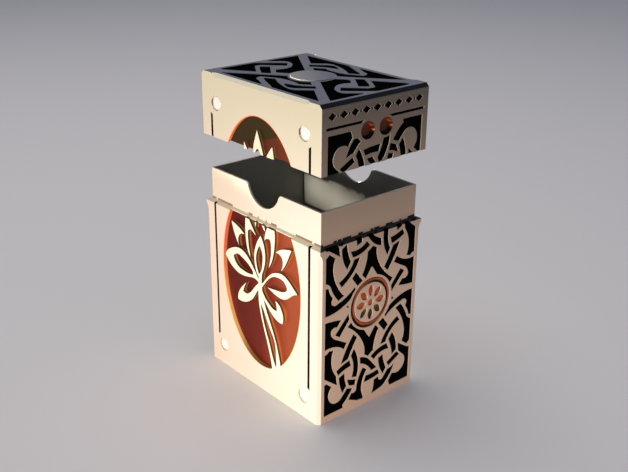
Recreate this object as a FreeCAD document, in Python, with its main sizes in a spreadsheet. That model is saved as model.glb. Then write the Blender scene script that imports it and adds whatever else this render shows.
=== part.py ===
"""A card deck box: a lower case with a thin liner standing out of it, and a lift-off lid.

Units are millimetres.  +Z is up, the front faces -Y, and the origin is the centre of the base.
Everything is drawn with the lid closed, and the lid's pieces are then raised by "lift".
"""
import FreeCAD
import Part
import Sketcher

import math
import os

from FreeCAD import Placement, Rotation, Vector

doc = FreeCAD.newDocument("card_deck_box")

# ---------------------------------------------------------------- driving dimensions

DIMENSIONS = [
    # alias, value, meaning
    ("width", 74.0, "outer width along X"),
    ("depth", 54.9, "outer depth along Y"),
    ("seam", 76.9, "height of the case's outer rim"),
    ("closed_height", 103.5, "height with the lid closed"),
    ("lift", 29.4, "how far the lid stands above its closed place"),
    ("rim_rise", 1.0, "how much higher the rim's inner edge is than its outer edge"),
    ("case_wall", 2.0, "thickness of a case panel"),
    ("lid_wall", 1.45, "thickness of a lid panel"),
    ("liner_wall", 1.0, "thickness of the case liner"),
    ("lid_liner_wall", 0.4, "thickness of the lid liner"),
    ("liner_top", 91.5, "height of the liner's rim"),
    ("base_thick", 1.6, "thickness of the base plate"),
    ("top_thick", 2.4, "thickness of the lid's top plate"),
    ("notch_radius", 10.5, "radius of the thumb notch"),
    ("notch_depth", 8.2, "depth of the thumb notch"),
    ("notch_shoulder", 2.0, "radius of the notch's shoulders"),
    ("corner_leg", 1.35, "leg of the chamfer on the case's upright corners"),
    ("corner_stop", 4.6, "how far below the rim the flat of that chamfer stops"),
    ("corner_run", 3.4, "length of the sweep that ends it"),
    ("top_leg", 1.4, "leg of the chamfers on the lid's top edges"),
    ("top_flat", 54.0, "length of the flat of a chamfer on a long top edge"),
    ("top_run", 3.5, "length of the sweeps that end it"),
    ("fret_depth", 1.0, "depth of the pockets that hold black inlay"),
    ("top_fret_depth", 1.5, "depth of the pockets in the top plate"),
    ("fret_recess", 0.22, "how far the black inlay lies below the face"),
    ("oval_centre", 51.7, "height of the oval's centre"),
    ("oval_half_width", 25.9, "half width of the oval"),
    ("oval_half_height", 40.2, "half height of the oval"),
    ("copper", 0.3, "thickness of the copper sheet"),
    ("pin_across", 27.5, "distance of a pin from the middle of the panel"),
    ("pin_low", 9.9, "height of the lower pins"),
    ("pin_high", 91.4, "height of the upper pins"),
    ("pin_pocket_radius", 3.1, "radius of a pin's pocket"),
    ("pin_pocket_depth", 0.8, "depth of a pin's pocket"),
    ("pin_head_radius", 2.6, "radius of a pin's head"),
    ("pin_recess", 0.35, "how far a pin's head lies below the face"),
    ("pin_shank_radius", 1.1, "radius of a pin's shank"),
    ("pin_shank_end", 1.4, "depth of the end of a pin's shank"),
    ("slot_across", 30.7, "distance of an upright slot from the middle of the panel"),
    ("slot_width", 1.35, "width of an upright slot"),
    ("slot_clear", 5.6, "radius kept clear of slots round a pin"),
    ("knot_centre", 47.4, "height of the knot's centre"),
    ("medal_outer", 11.0, "outer radius of the medallion's ring"),
    ("medal_inner", 8.6, "inner radius of the medallion's ring"),
    ("medal_recess", 0.55, "how far the ring lies below the face"),
    ("leaf_foot", 2.7, "distance of a rosette leaf's foot from the medallion's centre"),
    ("leaf_middle", 5.0, "distance of the leaf's widest place from the centre"),
    ("leaf_tip", 7.9, "distance of the leaf's tip from the centre"),
    ("leaf_half", 1.45, "half width of a rosette leaf"),
    ("leaf_button", 1.5, "radius of the disc in the rosette's middle"),
    ("cup_across", 4.7, "distance of a copper cup from the middle of the side"),
    ("cup_height", 90.5, "height of the copper cups"),
    ("cup_radius", 3.5, "outer radius of a copper cup"),
    ("rule_low", 93.7, "lower edge of the side's level slots"),
    ("rule_high", 94.8, "upper edge of the side's level slots"),
    ("rule_end", 25.3, "outer end of the side's level slots"),
    ("rule_clear", 4.5, "radius kept clear of slots round a cup"),
    ("band_low", 97.0, "lower edge of the ornament band"),
    ("band_high", 100.2, "upper edge of the ornament band"),
    ("band_pitch", 5.6, "distance between the band's lozenges"),
    ("band_half", 2.1, "half width of a lozenge"),
    ("band_dot", 0.55, "radius of a disc between two lozenges"),
    ("lid_liner_foot", 1.2, "how far above the seam the lid's liner starts"),
    ("boss_radius", 8.8, "radius of the boss on the top plate"),
    ("boss_rise", 0.3, "height of the boss above the top plate"),
    ("moat_width", 1.5, "width of the step beside the boss"),
    ("moat_depth", 1.1, "depth of the step beside the boss"),
    ("moat_lean_x", 20.0, "run along X of the lines that bound the step"),
    ("moat_lean_y", 17.0, "their run along Y"),
]

# how far a cutter reaches past the face that it opens
OVER = 1.0
# far enough to pass both ends of any edge
PAST = 10.0

sheet = doc.addObject("Spreadsheet::Sheet", "dims")
for row, (alias, value, meaning) in enumerate(DIMENSIONS, start=1):
    sheet.set(f"A{row}", meaning)
    sheet.set(f"B{row}", str(value))
    sheet.setAlias(f"B{row}", alias)
doc.recompute()


def size(alias):
    """The value of one cell of the sheet."""
    return float(sheet.get(alias))


# ---------------------------------------------------------------- small helpers

nodes = {}


def keep(label, feature, turn=0.0, raised=False):
    """Name a finished sub-part, turn it about Z and, in the lid, raise it."""
    feature.Label = label
    base = feature.Placement
    feature.Placement = Placement(Vector(), Rotation(Vector(0, 0, 1), turn)).multiply(base)
    if raised:
        height = feature.Placement.Base.z
        feature.setExpression("Placement.Base.z", f"dims.lift + {height}")
    nodes[label] = feature
    return feature


def feature(shape, name="piece"):
    """A computed solid, or a group of solids, as an object of the document."""
    piece = doc.addObject("Part::Feature", name)
    piece.Shape = shape
    return piece


def boolean(kind, base, tool, name="boolean"):
    """Part::Cut or Part::Common of two objects."""
    result = doc.addObject(f"Part::{kind}", name)
    result.Base = base
    result.Tool = tool
    return result


def bound(piece, **expressions):
    """Bind properties of one object to expressions over the sheet."""
    for prop, expression in expressions.items():
        piece.setExpression(prop.replace("__", "."), expression)
    return piece


def closed_wire(outline, to_point):
    """A closed wire from an outline, a start point and then its stretches.

    A stretch of one point is a straight edge, two points are an arc's middle and end,
    and more points are a smooth curve.  The last stretch closes with a straight edge.
    """
    first = to_point(outline[0][0])
    here = first
    edges = []
    for stretch in outline[1:]:
        points = [to_point(p) for p in stretch]
        if len(points) == 1:
            edges.append(Part.LineSegment(here, points[0]).toShape())
        elif len(points) == 2:
            edges.append(Part.Arc(here, points[0], points[1]).toShape())
        else:
            curve = Part.BSplineCurve()
            curve.interpolate([here] + points)
            edges.append(curve.toShape())
        here = points[-1]
    if here.distanceToPoint(first) > 1e-6:
        edges.append(Part.LineSegment(here, first).toShape())
    return Part.Wire(edges)


def slab(outlines, face, near, far):
    """Solids drawn on an upright face at y = face, from depth near to depth far."""
    solids = []
    for outline in outlines:
        wire = closed_wire(outline, lambda p: Vector(p[0], face + near, p[1]))
        solids.append(Part.Face(wire).extrude(Vector(0, far - near, 0)))
    return solids


def disc(radius, across, height, face, near, far):
    """A round solid whose axis is along Y, on an upright face."""
    return Part.makeCylinder(radius, far - near, Vector(across, face + near, height), Vector(0, 1, 0))


def block(x_low, x_high, z_low, z_high, face, near, far):
    """A square-edged solid on an upright face."""
    corner = Vector(x_low, face + near, z_low)
    return Part.makeBox(x_high - x_low, far - near, z_high - z_low, corner)


def half_turned(outline, centre):
    """The outline after half a turn about the point (0, centre)."""
    return [[(-x, 2 * centre - z) for x, z in stretch] for stretch in outline]


def mitred_blank(side_width, side_offset, wall, low, high, low_rise, high_rise):
    """A panel with mitred ends, drawn at the front and stating each edge's height."""
    blank = doc.addObject("Part::Wedge", "blank")
    half = f"dims.{side_width} / 2"
    return bound(
        blank,
        Ymin=f"-dims.{side_offset} / 2", Ymax=f"-dims.{side_offset} / 2 + dims.{wall}",
        Xmin=f"-{half}", Xmax=half,
        X2min=f"-{half} + dims.{wall}", X2max=f"{half} - dims.{wall}",
        Zmin=low, Zmax=high,
        Z2min=f"{low} + {low_rise}", Z2max=f"{high} + {high_rise}")


def run_out_cutter(leg, start, end, run, reach=3.0):
    """A chamfer's cutter along X, whose flat is at y = 0 and whose ends sweep out in arcs."""
    drop = leg / math.sqrt(2)
    bend = run * run / (2 * drop) + drop / 2
    half_angle = math.asin(run / bend) / 2
    sway = (bend * math.sin(half_angle), bend * (1 - math.cos(half_angle)))
    outline = [[(start, 0)], [(end, 0)],
               [(end + sway[0], sway[1]), (end + run, drop)],
               [(end + run, drop + reach)], [(start - run, drop + reach)],
               [(start - run, drop)], [(start - sway[0], sway[1]), (start, 0)]]
    face = Part.Face(closed_wire(outline, lambda p: Vector(p[0], p[1], -reach)))
    return face.extrude(Vector(0, 0, 2 * reach))


# ---------------------------------------------------------------- outlines of the lotus, (x, z)

# petals and leaves that stand alone
LOTUS_ISLANDS = [
    # upper left petal
    [[(-19.1, 72.6)], [(-14.3, 71.3), (-10.2, 69.2)],
     [(-12.2, 69.0)], [(-14.5, 66.6), (-13.8, 62.4)],
     [(-16.9, 67.0), (-19.1, 72.6)]],
    # tall left petal
    [[(-9.1, 79.9)], [(-7.0, 77.0), (-4.9, 74.2), (-2.4, 71.2)],
     [(-4.1, 72.0), (-6.3, 72.7), (-7.6, 71.7), (-7.9, 69.2), (-7.6, 65.6), (-6.4, 60.1)],
     [(-8.1, 62.7), (-9.1, 66.3), (-9.6, 70.6), (-9.5, 74.9), (-9.1, 79.9)]],
    # crowning petal
    [[(-0.7, 86.3)], [(0.9, 82.7), (2.3, 79.2), (3.7, 74.9)],
     [(1.3, 77.2), (-0.4, 78.8), (-2.0, 77.0), (-2.4, 74.5)],
     [(-3.1, 78.5), (-2.0, 82.7), (-0.7, 86.3)]],
    # tall right petal
    [[(8.7, 81.7)], [(9.4, 78.5), (9.8, 73.5), (9.4, 69.2), (8.4, 64.9), (5.7, 59.6)],
     [(6.9, 64.2), (7.4, 67.7), (7.3, 70.6), (6.6, 72.2), (5.1, 72.2), (3.1, 70.3)],
     [(4.4, 75.6), (6.6, 79.2), (8.7, 81.7)]],
    # upper right petal
    [[(20.1, 72.0)], [(16.6, 71.3), (13.0, 69.9), (10.5, 68.0)],
     [(12.3, 68.0), (14.1, 67.0), (14.8, 64.9), (14.4, 62.7), (13.7, 61.0)],
     [(15.9, 63.8), (18.0, 67.7), (20.1, 72.0)]],
]
LOTUS_STEM = [
    [(-0.9, 54.0)], [(-1.3, 50.6), (-1.3, 42.7), (1.6, 31.3), (5.9, 19.2), (7.6, 8.0)],
    [(14.0, 8.0)], [(12.3, 19.2), (8.7, 29.9), (3.0, 41.3), (1.1, 47.9), (1.2, 54.9)]]
LOTUS_STEM_SLIT = [
    [(0.0, 41.7)], [(0.9, 37.0), (3.0, 30.6), (5.5, 24.9), (7.6, 19.2), (9.6, 15.2)],
    [(10.1, 15.2)], [(9.8, 22.7), (8.7, 27.7), (5.9, 32.0), (3.0, 37.0), (0.0, 41.7)]]
# petals that grow out of the stem
LOTUS_JOINED = [
    # large left petal
    [[(-24.1, 55.7)], [(-22.0, 58.5), (-18.4, 60.6), (-14.9, 61.7), (-11.3, 61.3), (-7.7, 59.2), (-1.0, 52.0)],
     [(-1.0, 50.5)], [(-5.6, 51.3), (-8.4, 50.6), (-12.0, 50.0), (-15.6, 50.2), (-20.0, 52.0), (-24.1, 55.7)]],
    # large right petal
    [[(0.8, 50.5)], [(4.4, 54.6), (7.3, 57.4), (10.9, 59.2), (14.4, 59.7), (20.1, 57.0), (23.7, 54.2)],
     [(20.1, 52.3), (17.6, 50.2), (14.4, 48.8), (11.6, 48.8), (8.0, 49.5), (4.8, 50.6)],
     [(8.0, 50.9), (11.0, 51.4), (15.0, 52.2), (17.3, 54.2), (15.1, 57.0), (12.3, 57.4), (8.7, 56.7),
      (4.2, 53.1), (0.8, 48.8)]],
    # bud
    [[(0.0, 52.4)], [(-2.4, 54.9), (-3.4, 57.7), (-3.9, 61.3), (-3.1, 65.6), (0.6, 72.0)],
     [(2.3, 69.2), (3.4, 64.9), (3.2, 60.6), (2.3, 57.7), (0.0, 52.4)]],
    # lower left leaf
    [[(-15.8, 37.4)], [(-15.6, 39.9), (-14.1, 42.7), (-12.0, 45.2), (-9.6, 47.4)],
     [(-11.2, 44.8), (-12.0, 42.7)], [(-10.2, 42.2), (-6.3, 44.5), (-0.6, 50.2)],
     [(-0.6, 48.0)], [(-2.7, 45.4), (-4.9, 42.1), (-7.7, 39.5), (-11.3, 37.7), (-15.8, 37.4)]],
    # lower right leaf
    [[(14.2, 37.4)], [(14.8, 40.2), (14.1, 42.7), (12.3, 45.2), (9.8, 46.3)],
     [(10.5, 44.0), (10.7, 42.0)], [(8.7, 41.9), (5.9, 43.1), (3.0, 45.2), (0.4, 49.2)],
     [(0.2, 46.8)], [(2.3, 44.0), (5.1, 41.2), (8.7, 38.5), (11.3, 37.5), (14.2, 37.4)]],
]
LOTUS_HOLES = [
    # inside the large left petal
    [[(-4.9, 54.2)], [(-8.4, 56.7), (-12.0, 58.1), (-14.9, 58.8), (-17.0, 58.1), (-18.3, 56.7)],
     [(-17.7, 55.6), (-15.6, 53.4), (-12.0, 52.4), (-8.4, 52.2), (-4.9, 52.7)]],
    # inside the bud
    [[(-0.2, 67.4)], [(-2.0, 64.2), (-2.7, 60.6), (-2.0, 57.0), (-0.9, 54.4)],
     [(0.9, 57.0), (1.6, 60.6), (1.6, 64.2), (-0.2, 67.4)]],
]

# ---------------------------------------------------------------- outlines of the side knot, (y, z)

# lower half of the knot; the upper half is the same after half a turn
MEDAL_CLEAR = 11.9


def on_medal(angle, radius=MEDAL_CLEAR):
    """A point round the medallion, with the angle in degrees from straight down."""
    turn = math.radians(angle)
    return radius * math.sin(turn), size("knot_centre") - radius * math.cos(turn)


KNOT_LOWER = [
    # left edge and lower left corner
    [[(-24.5, 20.8)], [(-24.5, 31.7)], [(-23.2, 32.1), (-22.2, 32.9)], [(-19.7, 32.3)],
     [(-20.6, 26.3), (-18.0, 19.8)], [(-17.4, 15.3)]],
    [[(-24.5, 3.1)], [(-24.5, 18.0)], [(-23.3, 18.2)], [(-20.4, 15.6)], [(-22.1, 12.0), (-21.0, 8.6)],
     [(-18.1, 7.1), (-14.9, 8.5)], [(-12.0, 11.6)], [(-8.8, 10.5)], [(-11.2, 7.1), (-14.1, 4.5)],
     [(-13.8, 3.1)]],
    # left foot
    [[(-9.3, 8.4)], [(-7.6, 8.1), (-6.7, 8.9)], [(-5.6, 14.2), (-3.2, 18.2)], [(-0.8, 16.3)],
     [(-3.2, 11.6), (-3.6, 7.0)], [(-2.3, 3.0)], [(-6.0, 3.4)], [(-11.0, 5.8)]],
    # short runs between crossings
    [[(-16.6, 18.4)], [(-13.4, 19.7)], [(-13.1, 16.2), (-12.2, 12.9)], [(-14.4, 10.3)],
     [(-15.9, 14.2), (-16.6, 18.4)]],
    [[(-18.1, 22.1)], [(-14.5, 23.7), (-10.8, 24.6)], [(-9.9, 21.6)], [(-13.4, 21.0), (-16.8, 19.6)]],
    [[(-9.1, 36.0)], [(-6.9, 33.7)], [(-9.4, 29.7), (-11.6, 25.4)], [(-15.7, 24.4)],
     [(-12.9, 30.4), (-9.1, 36.0)]],
    [[(-8.6, 29.1)], [(-6.0, 22.6), (-6.5, 15.2)], [(-9.5, 15.9)], [(-8.7, 21.3), (-10.2, 26.3)]],
    [[(-12.0, 15.8)], [(-8.8, 14.6)], [(-6.8, 14.2)], [(-7.5, 11.5)], [(-10.9, 12.6)]],
    [[(-5.1, 23.7)], [(-1.7, 22.4), (1.0, 20.0)], [(4.9, 15.2)], [(1.7, 14.9)],
     [(-1.1, 18.5), (-4.8, 20.6)]],
    # the fork below the medallion
    [[on_medal(-62.5)], [(-12.4, 40.2)], [(-7.6, 36.1), (-4.7, 32.2), (-2.9, 28.1), (-2.6, 24.1)],
     [(-0.3, 22.6)], [(2.6, 24.4)], [(3.3, 29.2), (5.3, 33.7)], [(3.1, 36.0)], [(-0.2, 31.6)],
     [on_medal(-15.5)], [on_medal(-39.0), on_medal(-62.5)]],
    [[(-1.4, 13.6)], [(2.3, 13.5), (5.6, 14.0)], [(6.8, 11.5)], [(2.2, 10.8), (-2.4, 10.7)]],
    [[(5.6, 19.4)], [(8.5, 20.3)], [(9.2, 16.4), (10.6, 12.9)], [(9.0, 10.4)], [(6.6, 14.6), (5.6, 19.4)]],
    [[(1.1, 21.9)], [(5.2, 24.0), (10.5, 24.7)], [(11.8, 21.7)], [(7.2, 21.8), (3.2, 19.6)]],
    [[(16.1, 35.8)], [(17.7, 33.3)], [(12.7, 30.2), (9.8, 25.7)], [(6.5, 25.5)],
     [(10.2, 31.5), (16.1, 35.8)]],
    [[(13.3, 29.1)], [(15.7, 24.5), (16.4, 19.6)], [(13.7, 17.9)], [(12.9, 22.2), (11.3, 26.3)]],
    # right edge and lower right corner
    [[(24.5, 31.9)], [(22.9, 32.7), (21.9, 34.0)], [(20.1, 37.8), (17.6, 41.1)], [(14.6, 39.9)],
     [(19.1, 33.2), (20.6, 27.4)], [(20.3, 24.9), (19.5, 22.6)], [(22.7, 20.0)], [(24.5, 21.4)]],
    [[(17.1, 22.5)], [(23.0, 18.5)], [(24.5, 18.5)], [(24.5, 3.1)], [(13.2, 3.1)], [(12.2, 5.6)],
     [(14.4, 8.8)], [(18.0, 8.0), (20.9, 10.0)], [(21.8, 12.9), (20.9, 15.4)], [(17.6, 18.5)]],
    # right foot
    [[(3.5, 9.6)], [(6.1, 10.3)], [(6.6, 8.6)], [(7.7, 8.1), (9.1, 9.1)], [(11.5, 11.8)], [(13.1, 12.0)],
     [(15.7, 13.3)], [(12.9, 8.2), (8.9, 4.5)], [(2.3, 3.1)], [(3.2, 6.0), (3.5, 9.6)]],
    [[(10.8, 15.3)], [(16.4, 18.5)], [(18.6, 16.5)], [(12.1, 13.1)]],
    # strands beside the medallion
    [[(-24.5, 46.0)], [(-20.1, 45.6), (-15.7, 44.7)], [(-18.0, 42.1)], [(-20.2, 42.2), (-21.2, 40.6)],
     [(-20.4, 38.4), (-17.9, 36.4)], [(-12.5, 33.2)], [(-14.1, 30.8)], [(-18.8, 33.6), (-24.5, 33.8)]],
    [[(-11.9, 46.4)], [(-11.4, 43.3)], [(-16.5, 37.2)], [(-19.1, 38.9)], [(-12.7, 45.6)]],
    [[(24.5, 46.1)], [(17.6, 45.4), on_medal(65.0)], [on_medal(55.0), on_medal(44.0)], [(9.1, 37.8)],
     [(13.4, 40.6), (18.1, 42.3)], [(20.4, 42.3), (21.2, 40.9)], [(20.5, 39.2)], [(21.9, 36.9), (22.8, 34.2)],
     [(24.5, 34.0)]],
    [[(7.5, 37.9)], [(10.7, 33.6)], [(8.6, 31.4)], [(4.7, 36.3)]],
    [[(12.0, 46.1)], [(13.6, 45.1)], [(12.0, 44.5)]],
]
LEFT_FOOT = 2
RIGHT_FOOT = 17
# in the lid the two feet end against the copper cups
KNOT_LID_FEET = [
    [[(3.7, 86.3)], [(5.4, 86.2), (7.2, 87.1)], [(6.7, 83.4), (3.5, 77.4)], [(1.6, 77.0)], [(0.7, 79.1)],
     [(2.4, 82.0), (3.7, 86.3)]],
    [[(-11.6, 88.5)], [(-9.2, 88.5)], [(-8.7, 87.6), (-7.7, 87.0)], [(-8.8, 86.3)], [(-11.6, 83.1)],
     [(-13.0, 82.8)], [(-15.5, 81.7)], [(-14.0, 85.2), (-11.6, 88.5)]],
]

# ---------------------------------------------------------------- outlines of the top knot, (x, y)

# one half of the knot; the other half is the same after half a turn
TOP_KNOT = [
    # beyond the long loop, towards the back edge
    [[(-31.7, 24.2)], [(-5.2, 24.2)], [(8.2, 18.0)], [(9.8, 16.4)], [(5.6, 14.2)],
     [(0.2, 17.2), (-9.6, 20.4)], [(-12.5, 20.1), (-14.4, 18.6)], [(-18.0, 14.7)]],
    # inside the long loop
    [[(-16.9, 12.6)], [(-12.6, 17.0)], [(-10.8, 18.6), (-8.5, 19.3)], [(-5.4, 18.3), (-2.6, 16.3)],
     [(-7.2, 15.0)], [(-10.2, 13.3), (-13.6, 10.2)]],
    # between the boss, the diagonals and the back edge
    [[(0.9, 24.2)], [(28.6, 24.2)], [(6.6, 7.2)], [(0.0, 9.8), (-6.9, 7.0)], [(-11.3, 9.9)],
     [(-7.2, 13.0)], [(-1.0, 11.9), (5.8, 12.7)], [(12.1, 16.3)], [(11.4, 18.9), (8.7, 20.3)]],
    # left of the boss
    [[(-33.8, 20.8)], [(-9.5, 4.3)], [(-10.0, 0.0), (-9.2, -3.9)], [(-13.2, -6.9)], [(-14.5, -6.9)],
     [(-18.4, -3.7)], [(-17.2, 0.8), (-19.4, 5.4)], [(-22.2, 8.1), (-25.9, 9.5)],
     [(-28.1, 9.0), (-30.0, 6.8)], [(-32.7, 3.6)], [(-33.8, 4.6)]],
    # left edge, reaching into the short loop
    [[(-25.0, 7.9)], [(-21.0, 4.2)], [(-27.6, -2.5)], [(-28.9, -5.2), (-27.0, -7.8)], [(-20.0, -12.5)],
     [(-31.6, -20.7)], [(-33.8, -20.2)], [(-33.8, -2.6)], [(-31.4, 0.6)], [(-27.2, 5.8)]],
    # slit inside the short loop
    [[(-26.9, -5.2)], [(-24.1, -2.2)], [(-13.9, -9.8)], [(-16.9, -12.2)], [(-23.9, -7.9)]],
]

# ---------------------------------------------------------------- front and back panels


def oval(grow=0.0):
    """The oval's outline as a face at y = 0, larger by grow."""
    centre = Vector(0, 0, size("oval_centre"))
    tall = size("oval_half_height") + grow
    wide = size("oval_half_width") + grow
    ellipse = Part.Ellipse(centre + Vector(0, 0, tall), centre + Vector(wide, 0, 0), centre)
    return Part.Face(Part.Wire(ellipse.toShape()))


def oval_slab(face, near, far, grow=0.0):
    """The oval as a solid between two depths below an upright face."""
    shape = oval(grow)
    shape.translate(Vector(0, face + near, 0))
    return shape.extrude(Vector(0, far - near, 0))


def front_slots(face, near, far):
    """Two upright slots whose ends follow circles round the pins."""
    half = size("slot_width") / 2
    across = size("slot_across")
    slots = []
    for side in (-1, 1):
        slot = block(side * across - half, side * across + half,
                     size("pin_low"), size("pin_high"), face, near, far)
        for height in (size("pin_low"), size("pin_high")):
            slot = slot.cut(disc(size("slot_clear"), side * size("pin_across"), height, face, near, far))
        slots.append(slot)
    return slots


def pin_places():
    """Where the four pins of one face are, as (x, z)."""
    return [(side * size("pin_across"), height)
            for height in (size("pin_low"), size("pin_high")) for side in (-1, 1)]


def lotus(face, near, far):
    """The raised lotus: one branching solid, and the petals that stand alone."""
    stem = slab([LOTUS_STEM], face, near, far)[0]
    branching = stem.multiFuse(slab(LOTUS_JOINED, face, near, far))
    branching = branching.cut(Part.makeCompound(slab(LOTUS_HOLES + [LOTUS_STEM_SLIT], face, near, far)))
    pieces = branching.Solids + slab(LOTUS_ISLANDS, face, near, far)
    return Part.makeCompound(pieces).common(oval_slab(face, near, far))


def front_family(part, face_name, turn, blank, wall, raised):
    """Panel, copper, lotus and slot inlays of one wide face, for the case or the lid."""
    face = -size("depth") / 2
    floor = wall - size("copper")
    recess = size("fret_recess")
    fret = size("fret_depth")
    through = [oval_slab(face, -OVER, wall + OVER)] + front_slots(face, -OVER, fret)
    pockets = [disc(size("pin_pocket_radius"), x, z, face, -OVER, size("pin_pocket_depth"))
               for x, z in pin_places()]
    shanks = [disc(size("pin_shank_radius"), x, z, face, 0, size("pin_shank_end")) for x, z in pin_places()]
    openings = feature(Part.makeCompound(through + pockets).fuse(Part.makeCompound(shanks)), "openings")
    name = f"{part}_{face_name}"
    keep(f"{name}_panel", boolean("Cut", blank, openings), turn, raised)

    plate = feature(oval_slab(face, floor, wall), "copper_plate")
    keep(f"{name}_copper_plate", boolean("Common", blank, plate), turn, raised)

    stem = slab([LOTUS_STEM], face, 0, floor)[0]
    wall_ring = oval_slab(face, 0, floor).cut(oval_slab(face, 0, floor, -size("copper"))).cut(stem)
    keep(f"{name}_copper_bezel", boolean("Common", blank, feature(wall_ring, "bezel")), turn, raised)

    raised_lotus = feature(lotus(face, 0, floor), "lotus")
    keep(f"{name}_lotus", boolean("Common", blank, raised_lotus), turn, raised)

    inlay = feature(Part.makeCompound(front_slots(face, recess, fret)), "slot_inlay")
    keep(f"{name}_slot_inlays", boolean("Common", blank, inlay), turn, raised)


# ---------------------------------------------------------------- side panels

LOZENGES_EACH_SIDE = 4
LEAVES = 8


def knot_outlines():
    """All pockets of the side knot, lower half, upper half and the lid's two feet."""
    centre = size("knot_centre")
    upper = [outline for index, outline in enumerate(KNOT_LOWER) if index not in (LEFT_FOOT, RIGHT_FOOT)]
    return KNOT_LOWER + [half_turned(outline, centre) for outline in upper] + KNOT_LID_FEET


def band_ornament(face, near, far):
    """A row of lozenges with small discs between them, along the lid's upper edge."""
    middle = (size("band_low") + size("band_high")) / 2
    tall = (size("band_high") - size("band_low")) / 2
    pitch = size("band_pitch")
    wide = size("band_half")
    shapes = []
    for index in range(-LOZENGES_EACH_SIDE, LOZENGES_EACH_SIDE + 1):
        across = index * pitch
        lozenge = [[(across - wide, middle)], [(across, middle + tall)],
                   [(across + wide, middle)], [(across, middle - tall)]]
        shapes += slab([lozenge], face, near, far)
    for index in range(-LOZENGES_EACH_SIDE, LOZENGES_EACH_SIDE):
        shapes.append(disc(size("band_dot"), (index + 0.5) * pitch, middle, face, near, far))
    return shapes


def level_slots(face, near, far):
    """Two level slots that run in from the side's edges to the copper cups."""
    slots = []
    for side in (-1, 1):
        ends = sorted((side * size("rule_end"), side * size("cup_across")))
        slot = block(ends[0], ends[1], size("rule_low"), size("rule_high"), face, near, far)
        clear = disc(size("rule_clear"), side * size("cup_across"), size("cup_height"), face, near, far)
        slots.append(slot.cut(clear))
    return slots


def medal_ring(face, near, far):
    """The flat ring of the medallion."""
    centre = (0, size("knot_centre"), face)
    return disc(size("medal_outer"), *centre, near, far).cut(disc(size("medal_inner"), *centre, near, far))


def rosette(face, near, far):
    """Eight leaves round a small disc, inside the medallion's ring."""
    centre = Vector(0, 0, size("knot_centre"))
    foot, tip = (0, size("leaf_foot")), (0, size("leaf_tip"))
    half, middle = size("leaf_half"), size("leaf_middle")
    leaf = [[foot], [(half, middle), tip], [(-half, middle), foot]]
    shapes = []
    for index in range(LEAVES):
        petal = slab([leaf], face, near, far)[0]
        petal.rotate(Vector(), Vector(0, 1, 0), 360 / LEAVES * index)
        petal.translate(centre)
        shapes.append(petal)
    shapes.append(disc(size("leaf_button"), 0, centre.z, face, near, far))
    return shapes


def side_family(part, face_name, turn, blank, raised):
    """Panel and inlays of one narrow face, for the case or the lid."""
    face = -size("width") / 2
    fret = size("fret_depth")
    recess = size("fret_recess")
    name = f"{part}_{face_name}"
    cut_outs = slab(knot_outlines(), face, -OVER, fret)
    if part == "case":
        cut_outs += [medal_ring(face, -OVER, fret)] + rosette(face, -OVER, fret)
    else:
        cut_outs += level_slots(face, -OVER, fret) + band_ornament(face, -OVER, fret)
        for side in (-1, 1):
            cut_outs.append(disc(size("cup_radius"), side * size("cup_across"), size("cup_height"),
                                 face, -OVER, size("lid_wall") + OVER))
    openings = feature(Part.makeCompound(cut_outs), "openings")
    keep(f"{name}_panel", boolean("Cut", blank, openings), turn, raised)

    fill = feature(Part.makeCompound(slab(knot_outlines(), face, recess, fret)), "knot_fill")
    keep(f"{name}_knot_inlay", boolean("Common", blank, fill), turn, raised)

    if part == "case":
        near = size("medal_recess")
        keep(f"{name}_medallion_ring", feature(medal_ring(face, near, fret), "ring"), turn, raised)
        leaves = feature(Part.makeCompound(rosette(face, near, fret)), "rosette")
        keep(f"{name}_rosette", leaves, turn, raised)
    else:
        rules = feature(Part.makeCompound(level_slots(face, recess, fret)), "rules")
        keep(f"{name}_rule_inlays", rules, turn, raised)
        band = feature(Part.makeCompound(band_ornament(face, recess, fret)), "band")
        keep(f"{name}_band_inlay", band, turn, raised)
        cups = []
        for side in (-1, 1):
            place = (side * size("cup_across"), size("cup_height"), face)
            cup = disc(size("cup_radius"), *place, 0, size("lid_wall"))
            hollow = disc(size("cup_radius") - size("copper"), *place, 0, size("lid_wall") - size("copper"))
            cups.append(cup.cut(hollow))
        keep(f"{name}_copper_cups", feature(Part.makeCompound(cups), "cups"), turn, raised)


# ---------------------------------------------------------------- panels round the case and the lid


def corner_cutters(half_x, half_y):
    """Four chamfer cutters for upright corners, which stop below the rim."""
    leg = size("corner_leg")
    stop = size("seam") - size("corner_stop")
    cutters = []
    for sign_x in (-1, 1):
        for sign_y in (-1, 1):
            outward = Vector(sign_x, sign_y, 0).normalize()
            upward = Vector(0, 0, 1)
            flat = Vector(sign_x * half_x, sign_y * half_y, 0) - outward * (leg / math.sqrt(2))
            cutter = run_out_cutter(leg, -PAST, stop, size("corner_run"))
            cutter.Placement = Placement(flat, Rotation(upward, outward, upward.cross(outward), "XYZ"))
            cutters.append(cutter)
    return Part.makeCompound(cutters)


def case_blank(side_width, side_offset):
    """A case panel before its openings: mitred, with a sloping rim and chamfered corners."""
    blank = mitred_blank(side_width, side_offset, "case_wall", "0", "dims.seam", "0", "dims.rim_rise")
    cutters = feature(corner_cutters(size(side_width) / 2, size(side_offset) / 2), "corner_cutters")
    return boolean("Cut", blank, cutters, "case_blank")


def lid_blank(side_width, side_offset):
    """A lid panel before its openings, its lower edge sloping to match the case's rim."""
    rise = "dims.rim_rise * dims.lid_wall / dims.case_wall"
    return mitred_blank(side_width, side_offset, "lid_wall", "dims.seam",
                        "dims.closed_height - dims.top_thick", rise, "0")


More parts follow.
